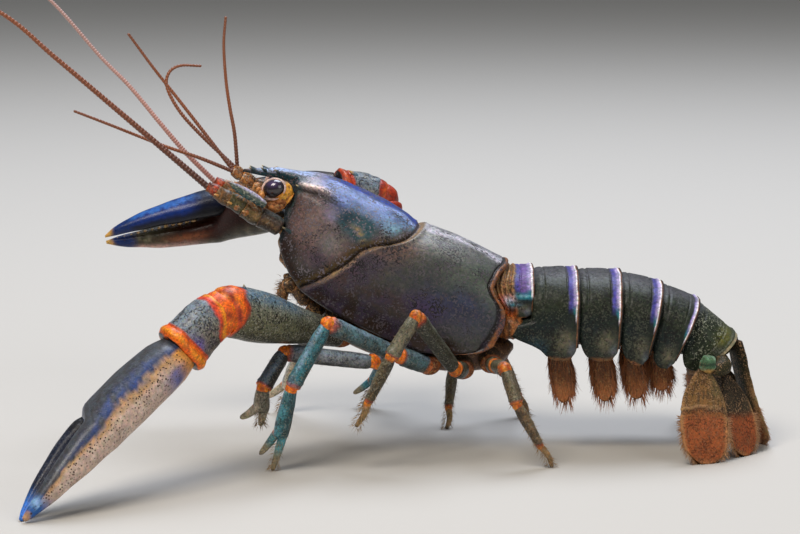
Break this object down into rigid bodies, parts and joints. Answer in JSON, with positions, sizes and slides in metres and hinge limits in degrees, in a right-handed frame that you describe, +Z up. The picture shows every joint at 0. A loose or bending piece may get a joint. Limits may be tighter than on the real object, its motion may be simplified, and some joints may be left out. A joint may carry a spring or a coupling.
{
  "type": "crayfish",
  "caption": "Freshwater crayfish, Cherax alyciae, walking with one claw lowered and the other raised, tail fan folded down, long feelers forward.",
  "frame": {"origin": "on the floor, in the middle of the model's box", "axes": "the head points to -X, the animal's left side faces -Y, +Z is up"},
  "size_m": [0.1485, 0.0784, 0.0842],
  "materials": {
    "shell": "satin shell",
    "belly_ring": "satin shell",
    "joint_orange": "satin shell",
    "leg_teal": "satin shell",
    "claw_blue": "satin shell",
    "claw_pale": "satin shell",
    "feeler": "satin shell",
    "eye": "satin shell",
    "fan": "satin shell",
    "soft_underside": "soft skin",
    "antenna_pale": "satin shell"
  },
  "bodies": {
    "root": {"antenna_left": "feeler", "antenna_right": "antenna_pale", "antenna_stalk_left": "soft_underside", "antenna_stalk_right": "soft_underside", "antennule_left": "feeler", "antennule_right": "feeler", "arm_left": "leg_teal", "arm_right": "leg_teal", "claw_left_finger": "claw_blue", "claw_left_palm": "claw_pale", "claw_right_finger": "claw_blue", "claw_right_palm": "claw_pale", "eye_left": "eye", "eye_right": "eye", "head": "shell", "leg_2_left_foot": "leg_teal", "leg_2_left_shin": "leg_teal", "leg_2_left_thigh": "leg_teal", "leg_2_right_foot": "leg_teal", "leg_2_right_shin": "leg_teal", "leg_2_right_thigh": "leg_teal", "leg_3_left_foot": "leg_teal", "leg_3_left_shin": "leg_teal", "leg_3_left_thigh": "leg_teal", "leg_3_right_foot": "leg_teal", "leg_3_right_shin": "leg_teal", "leg_3_right_thigh": "leg_teal", "leg_4_left_foot": "leg_teal", "leg_4_left_shin": "leg_teal", "leg_4_left_thigh": "leg_teal", "leg_4_right_foot": "leg_teal", "leg_4_right_shin": "leg_teal", "leg_4_right_thigh": "leg_teal", "leg_5_left_foot": "leg_teal", "leg_5_left_shin": "leg_teal", "leg_5_left_thigh": "leg_teal", "leg_5_right_foot": "leg_teal", "leg_5_right_shin": "leg_teal", "leg_5_right_thigh": "leg_teal", "leg_bases": "soft_underside", "mouth_leg_left": "soft_underside", "mouth_leg_right": "soft_underside", "tail_blade_left_inner": "fan", "tail_blade_left_outer": "fan", "tail_blade_right_inner": "fan", "tail_blade_right_outer": "fan", "tail_segment_1": "belly_ring", "tail_segment_2": "belly_ring", "tail_segment_3": "belly_ring", "tail_segment_4": "belly_ring", "tail_segment_5": "belly_ring", "tail_segment_6": "belly_ring", "tail_underside": "soft_underside", "telson": "fan", "thorax": "shell", "wrist_left": "joint_orange", "wrist_right": "joint_orange"}
  },
  "joints": []
}
